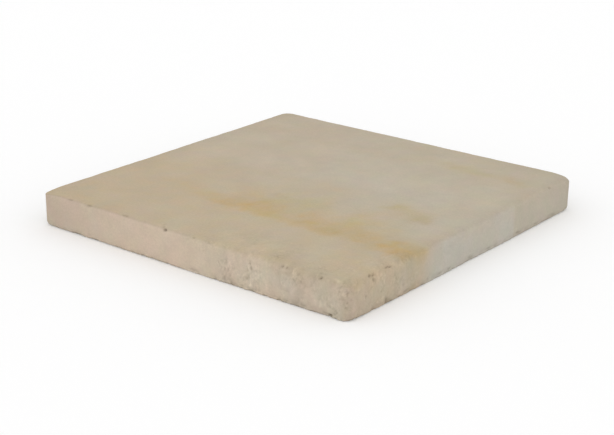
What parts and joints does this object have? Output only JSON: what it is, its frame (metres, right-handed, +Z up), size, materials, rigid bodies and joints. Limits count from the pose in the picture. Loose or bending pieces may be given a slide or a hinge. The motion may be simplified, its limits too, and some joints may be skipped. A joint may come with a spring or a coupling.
{
  "type": "concrete paver",
  "caption": "Flat square concrete paver with eased edges and worn corners, laid on a bed as paving or used as a stepping stone.",
  "frame": {"origin": "centre of the bedding face, the flat underside that the paver lies on", "axes": "+Z up to the wearing face; -Y is the front edge and +X the right edge, the two edges that the picture shows"},
  "size_m": [0.406, 0.406, 0.038],
  "materials": {
    "concrete": "matt cast concrete in sandstone buff, mottled, with ochre streaks, fine pits and worn arrises"
  },
  "bodies": {
    "root": {"paver": "concrete"}
  },
  "joints": []
}
